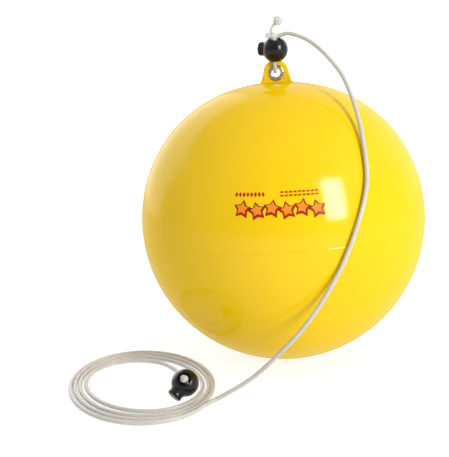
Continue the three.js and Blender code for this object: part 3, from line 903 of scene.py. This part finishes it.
def make_washer(material):
    """The flat washer on the eyelet's barrel, behind the lug."""
    near = -(LUG_THICKNESS / 2 + EYELET_GAP)
    far = near - EYELET_PLATE
    inner = EYELET_BARREL_R + EYELET_GAP
    outer = EYELET_FLANGE_R
    rows = [
        (inner, near), (inner, far), (outer - 0.25, far), (outer, near - 0.28), (outer, near), (inner, near),
    ]
    part = placed(lathe(rows, 56), eyelet_matrix())
    washer = make_object("eyelet_washer_ring", *part, material, "ball", "eyelet_nickel")
    washer.data.set_sharp_from_angle(angle=math.radians(40))
    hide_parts("eyelet_washer")


# ------------------------ print

def star_outline(radius, spin):
    """A five-pointed star's outline on the flat print sheet, about (0, 0)."""
    outline = []
    for k in range(10):
        angle = math.pi / 2 + spin + math.pi * k / 5
        reach = radius if k % 2 == 0 else radius * STAR_WAIST
        outline.append((reach * math.cos(angle), reach * math.sin(angle)))
    return outline


def moved(outline, u, v):
    """An outline moved on the flat print sheet."""
    return [(x + u, y + v) for x, y in outline]


def on_ball(u, v, lift):
    """A point of the flat print sheet laid on the ball's front: u along the seam, v upwards."""
    latitude = math.radians(PRINT_LATITUDE) + v / BALL_R
    longitude = u / (BALL_R * math.cos(math.radians(PRINT_LATITUDE)))
    reach = BALL_R + lift
    return (
        reach * math.cos(latitude) * math.sin(longitude),
        -reach * math.cos(latitude) * math.cos(longitude),
        BALL_Z + reach * math.sin(latitude),
    )


def print_shape(outline, lift, rings=4):
    """A thin shape of ink with the given outline, made in rings that follow the ball, its foot in the skin."""
    centre_u = sum(u for u, v in outline) / len(outline)
    centre_v = sum(v for u, v in outline) / len(outline)
    fine = []
    parts = 3
    for (u0, v0), (u1, v1) in zip(outline, outline[1:] + outline[:1]):
        for i in range(parts):
            fine.append((u0 + (u1 - u0) * i / parts, v0 + (v1 - v0) * i / parts))
    count = len(fine)
    vertices = []
    faces = []
    for level in (lift, INK_ROOT):
        base = len(vertices)
        for ring in range(rings):
            share = (ring + 1) / rings
            for u, v in fine:
                place = (centre_u + (u - centre_u) * share, centre_v + (v - centre_v) * share)
                vertices.append(on_ball(*place, level))
        vertices.append(on_ball(centre_u, centre_v, level))
        hub = len(vertices) - 1
        for i in range(count):
            j = (i + 1) % count
            faces.append((base + j, base + i, hub) if level < 0 else (base + i, base + j, hub))
            for ring in range(rings - 1):
                a = base + ring * count
                b = base + (ring + 1) * count
                quad = (a + i, b + i, b + j, a + j)
                faces.append(tuple(reversed(quad)) if level < 0 else quad)
    top = (rings - 1) * count
    under = top + rings * count + 1
    for i in range(count):
        j = (i + 1) % count
        faces.append((top + i, under + i, under + j, top + j))
    return vertices, faces


def star_layer(size, du, dv, lift):
    """One layer of ink on every star of the row: a star of a relative size, moved a little in its place."""
    parts = []
    for k in range(STAR_COUNT):
        u = (k - (STAR_COUNT - 1) / 2) * STAR_SPACING + STAR_ROW_SHIFT + du
        v = STAR_HEIGHTS[k % 2] + dv
        star = star_outline(STAR_R * size, STAR_SPINS[k % 2])
        parts.append(print_shape(moved(star, u, v), lift))
    return joined(*parts)


def small_marks():
    """The diamonds and dashes over the stars."""
    parts = []
    half_u, half_v = DIAMOND_HALF
    diamond = [(half_u, 0), (0, half_v), (-half_u, 0), (0, -half_v)]
    for k in range(DIAMOND_COUNT):
        place = moved(diamond, DIAMOND_PLACE[0] + k * DIAMOND_SPACING, DIAMOND_PLACE[1])
        parts.append(print_shape(place, INK_T, 2))
    half_u, half_v = DASH_HALF
    dash = [(half_u, -half_v), (half_u, half_v), (-half_u, half_v), (-half_u, -half_v)]
    for row in range(DASH_ROWS):
        for k in range(DASH_COUNT):
            place = moved(dash, DASH_PLACE[0] + k * DASH_SPACING[0], DASH_PLACE[1] + row * DASH_SPACING[1])
            parts.append(print_shape(place, INK_T, 2))
    return joined(*parts)


def make_print():
    """A generic row of stars in three layers of ink, smallest on top, with small marks above the row."""
    dark = ink("print_dark", (0.09, 0.012, 0.006))
    red = ink("print_red", (0.34, 0.012, 0.002))
    orange = ink("print_orange", (0.66, 0.20, 0.015))
    make_object("print_outlines", *star_layer(1, 0, 0, INK_T), dark, "ball", smooth=False)
    make_object("print_shades", *star_layer(0.86, 0, -0.2, INK_T * 2), red, "ball", smooth=False)
    make_object("print_fills", *star_layer(0.66, -0.2, 0.7, INK_T * 3), orange, "ball", smooth=False)
    make_object("print_dots", *small_marks(), red, "ball", smooth=False)


# ------------------------ cord locks

def bar(min_x, max_x, half_y, corner):
    """A long bar along Z whose section is a rectangle with rounded corners, to cut with."""
    steps = 6
    corners = (
        (max_x - corner, -half_y + corner, -90), (max_x - corner, half_y - corner, 0),
        (min_x + corner, half_y - corner, 90), (min_x + corner, -half_y + corner, 180),
    )
    outline = []
    for x, y, start in corners:
        for i in range(steps + 1):
            angle = math.radians(start + 90 * i / steps)
            outline.append((x + corner * math.cos(angle), y + corner * math.sin(angle)))
    count = len(outline)
    vertices = [(x, y, z) for z in (-CUTTER_LENGTH / 2, CUTTER_LENGTH / 2) for x, y in outline]
    faces = [tuple(reversed(range(count))), tuple(range(count, 2 * count))]
    for i in range(count):
        j = (i + 1) % count
        faces.append((i, j, count + j, count + i))
    return vertices, faces


def lock_shell_rows():
    """Outline of the lock's shell round its cord hole: a ball with two flats, softened at their edges."""
    flat_angle = math.asin(LOCK_FLAT / LOCK_R)
    flat_r = LOCK_R * math.cos(flat_angle)
    edge = LOCK_FLAT_EDGE
    rows = [(0, -LOCK_FLAT), (flat_r - edge, -LOCK_FLAT), (flat_r - edge * 0.3, -LOCK_FLAT + edge * 0.25)]
    steps = 30
    low = -flat_angle + 0.04
    high = flat_angle - 0.04
    for i in range(steps + 1):
        angle = low + (high - low) * i / steps
        rows.append((LOCK_R * math.cos(angle), LOCK_R * math.sin(angle)))
    rows += [(flat_r - edge * 0.3, LOCK_FLAT - edge * 0.25), (flat_r - edge, LOCK_FLAT), (0, LOCK_FLAT)]
    return rows


def along_x(part):
    """Something turned round Z, laid so that its top points to -X."""
    return placed(part, Matrix.Rotation(-math.pi / 2, 4, "Y"))


def lock_mouth():
    """The cutter for a lock's mouth: a shallow cup that widens outwards."""
    floor = LOCK_FLAT - LOCK_MOUTH_DEPTH
    outside = LOCK_FLAT + 1
    return lathe([
        (0, floor), (4.1, floor), (4.25, LOCK_FLAT - 1.2), (4.55, LOCK_FLAT - 0.45),
        (LOCK_MOUTH_R + 0.1, LOCK_FLAT), (LOCK_MOUTH_R + 1.2, outside), (0, outside),
    ], 56)


def make_lock_shell(name, material):
    """A lock's shell with its cord hole, a mouth at each end of the hole, and the pocket for the plunger."""
    shell = make_object(name, *lathe(lock_shell_rows(), 72), material, None, "lock_black")
    mouth = lock_mouth()
    pocket = lathe([
        (0, -LOCK_POCKET_END), (PLUNGER_SEAT_R, -LOCK_POCKET_END), (PLUNGER_SEAT_R, -LOCK_POCKET_STEP),
        (LOCK_POCKET_R, -LOCK_POCKET_STEP), (LOCK_POCKET_R, 2 * LOCK_R), (0, 2 * LOCK_R),
    ], 56)
    cut(shell, bar(-LOCK_BORE[0], LOCK_BORE[0], LOCK_BORE[1], LOCK_BORE_CORNER))
    cut(shell, mouth)
    cut(shell, placed(mouth, Matrix.Rotation(math.pi, 4, "X")))
    cut(shell, along_x(pocket))
    soften_edges(shell, 0.22)
    return shell


def make_lock_button(name, material):
    """A lock's plunger: a round button with a fine groove, a seat for the spring and a slot for the cord."""
    seat = PLUNGER_SEAT_DEPTH - PLUNGER_INNER
    button_rows = [
        (0, seat), (PLUNGER_SEAT_R, seat), (PLUNGER_SEAT_R, -PLUNGER_INNER),
        (PLUNGER_R - 0.3, -PLUNGER_INNER), (PLUNGER_R, -PLUNGER_INNER + 0.3),
        (PLUNGER_R, 9.6), (PLUNGER_R - 0.25, 9.8), (PLUNGER_R - 0.25, 10.5), (PLUNGER_R, 10.7),
        (PLUNGER_R, PLUNGER_REACH - 1.1), (PLUNGER_R - 0.25, PLUNGER_REACH - 0.5),
        (PLUNGER_R - 0.8, PLUNGER_REACH - 0.1), (PLUNGER_R - 1.5, PLUNGER_REACH),
        (PLUNGER_R - 2.0, PLUNGER_REACH - 0.35), (0, PLUNGER_REACH - 0.45),
    ]
    button = make_object(name, *along_x(lathe(button_rows, 56)), material, None, "lock_black")
    cut(button, bar(-PLUNGER_SLOT_OUTER, LOCK_BORE[0], LOCK_BORE[1], PLUNGER_SLOT_CORNER))
    soften_edges(button, 0.15)
    return button


def make_lock_spring(name, material):
    """A lock's spring, from its seat in the plunger to the end of the pocket."""
    steps = 84
    line = []
    for i in range(steps + 1):
        share = i / steps
        angle = 2 * math.pi * SPRING_TURNS * share
        x = SPRING_START + (SPRING_END - SPRING_START) * share
        line.append(Vector((x, SPRING_R * math.cos(angle), SPRING_R * math.sin(angle))))
    return make_object(name, *tube(line, SPRING_WIRE_R, 8), material, None, "spring_steel")


def make_lock(prefix, matrix, body, plunger_body, black, steel):
    """A sprung ball-shaped cord lock. In its own frame the cord hole is along Z, the plunger points to -X."""
    shell = make_lock_shell(f"{prefix}_lock_shell", black)
    button = make_lock_button(f"{prefix}_lock_button", black)
    coil = make_lock_spring(f"{prefix}_lock_spring_wire", steel)
    for piece, owner in ((shell, body), (button, plunger_body), (coil, body)):
        piece.data.transform(Matrix.Scale(MM, 4) @ matrix @ Matrix.Scale(1 / MM, 4))
        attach(piece, owner)
    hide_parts(f"{prefix}_lock_body")
    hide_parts(f"{prefix}_lock_plunger")
    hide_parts(f"{prefix}_lock_spring")
    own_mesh(coil)
    return [shell, button, coil]


def upper_lock_matrix():
    """Where the upper lock is: leaning to the front, with its plunger to the left and a little back."""
    lean = Matrix.Rotation(UPPER_LOCK_LEAN, 4, "X")
    return Matrix.Translation(UPPER_LOCK) @ lean @ Matrix.Rotation(UPPER_LOCK_TURN, 4, "Z")


def lower_lock_matrix():
    """Where the lower lock is: its cord hole along LOWER_BORE_DIR, its plunger near LOWER_PLUNGER_DIR."""
    across = LOWER_PLUNGER_DIR.cross(LOWER_BORE_DIR).normalized()
    inward = across.cross(LOWER_BORE_DIR)
    turn = Matrix((inward, across, LOWER_BORE_DIR)).transposed().to_4x4()
    return Matrix.Translation(LOWER_LOCK) @ turn


# ------------------------ studio

def make_floor():
    """A pale floor, and a white backdrop that curves up far behind it."""
    floor_corners = [
        (-FLOOR_HALF_WIDTH, FLOOR_FRONT, 0), (FLOOR_HALF_WIDTH, FLOOR_FRONT, 0),
        (FLOOR_HALF_WIDTH, FLOOR_BACK, 0), (-FLOOR_HALF_WIDTH, FLOOR_BACK, 0),
    ]
    floor = make_object("floor", floor_corners, [(0, 1, 2, 3)], pale_floor())
    rows = []
    steps = 12
    for i in range(steps + 1):
        angle = math.pi / 2 * i / steps
        rows.append((FLOOR_BACK + BACKDROP_CURVE * math.sin(angle), BACKDROP_CURVE * (1 - math.cos(angle))))
    rows.append((FLOOR_BACK + BACKDROP_CURVE, BACKDROP_TOP))
    vertices = [(x, y, z) for y, z in rows for x in (-FLOOR_HALF_WIDTH, FLOOR_HALF_WIDTH)]
    faces = [(2 * i, 2 * i + 1, 2 * i + 3, 2 * i + 2) for i in range(len(rows) - 1)]
    backdrop = make_object("backdrop", vertices, faces, glowing_backdrop())


def area_light(name, heading, elevation, distance, size, radiance, roll=0):
    """A rectangular softbox that faces the ball, its size and distance in metres. heading is from the front
    towards the right, in degrees, and radiance is its brightness, where 1 is white."""
    data = bpy.data.lights.new(name, "AREA")
    data.shape = "RECTANGLE"
    data.size, data.size_y = size
    data.energy = radiance * math.pi * size[0] * size[1]
    light = bpy.data.objects.new(name, data)
    bpy.context.scene.collection.objects.link(light)
    centre = Vector((0, 0, BALL_Z * MM))
    a = math.radians(heading)
    e = math.radians(elevation)
    way = Vector((math.sin(a) * math.cos(e), -math.cos(a) * math.cos(e), math.sin(e)))
    turn = (-way).to_track_quat("-Z", "Y").to_matrix() @ Matrix.Rotation(math.radians(roll), 3, "Z")
    light.matrix_world = Matrix.Translation(centre + way * distance) @ turn.to_4x4()


def make_surroundings():
    """White surroundings, darker in front of the ball than behind it."""
    world = bpy.data.worlds.new("studio")
    bpy.context.scene.world = world
    world.use_nodes = True
    tree = world.node_tree
    background = tree.nodes["Background"]
    background.inputs["Color"].default_value = (1, 1, 1, 1)
    way = tree.nodes.new("ShaderNodeTexCoord")
    split = tree.nodes.new("ShaderNodeSeparateXYZ")
    dim = tree.nodes.new("ShaderNodeMapRange")
    dim.interpolation_type = "SMOOTHSTEP"
    dim.inputs["From Min"].default_value = -1
    dim.inputs["From Max"].default_value = -0.1
    dim.inputs["To Min"].default_value = 0.4
    dim.inputs["To Max"].default_value = 0.86
    tree.links.new(way.outputs["Generated"], split.inputs["Vector"])
    tree.links.new(split.outputs["Y"], dim.inputs["Value"])
    tree.links.new(dim.outputs["Result"], background.inputs["Strength"])


def make_lights():
    """A window-like softbox at the right front, and broad panels at the right and at the left rear."""
    area_light("window_softbox", 42.5, 21, 1.4, (0.38, 0.67), 20.5, -6)
    area_light("right_panel", 85, 38, 1.6, (1.2, 1.0), 0.3)
    area_light("left_rear_panel", -138, 18, 1.6, (1.8, 1.5), 1.2, -14)
    bpy.context.scene.view_settings.view_transform = "Standard"
    bpy.context.scene.view_settings.look = "None"


# ------------------------ the scene

make_camera()

cord_material = cream_cord()
main_cord, main_line = make_main_cord(cord_material)
end_stopper = make_end_knot(cord_material)
make_loop_cord(cord_material)
make_joining_knot(cord_material)
make_tail(cord_material)

vinyl = yellow_vinyl()
make_ball(vinyl)
make_lug(vinyl)
make_valve_plug(white_plastic())
plate = nickel()
make_eyelet(plate)
make_washer(plate)
make_print()

plastic = black_plastic()
steel = spring_steel()
make_lock("upper", upper_lock_matrix(), "hanger", "upper_plunger", plastic, steel)
lower_pieces = make_lock(
    "lower", lower_lock_matrix(), "ball", "lower_plunger", plastic, steel)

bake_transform(main_cord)

make_floor()
make_surroundings()
make_lights()
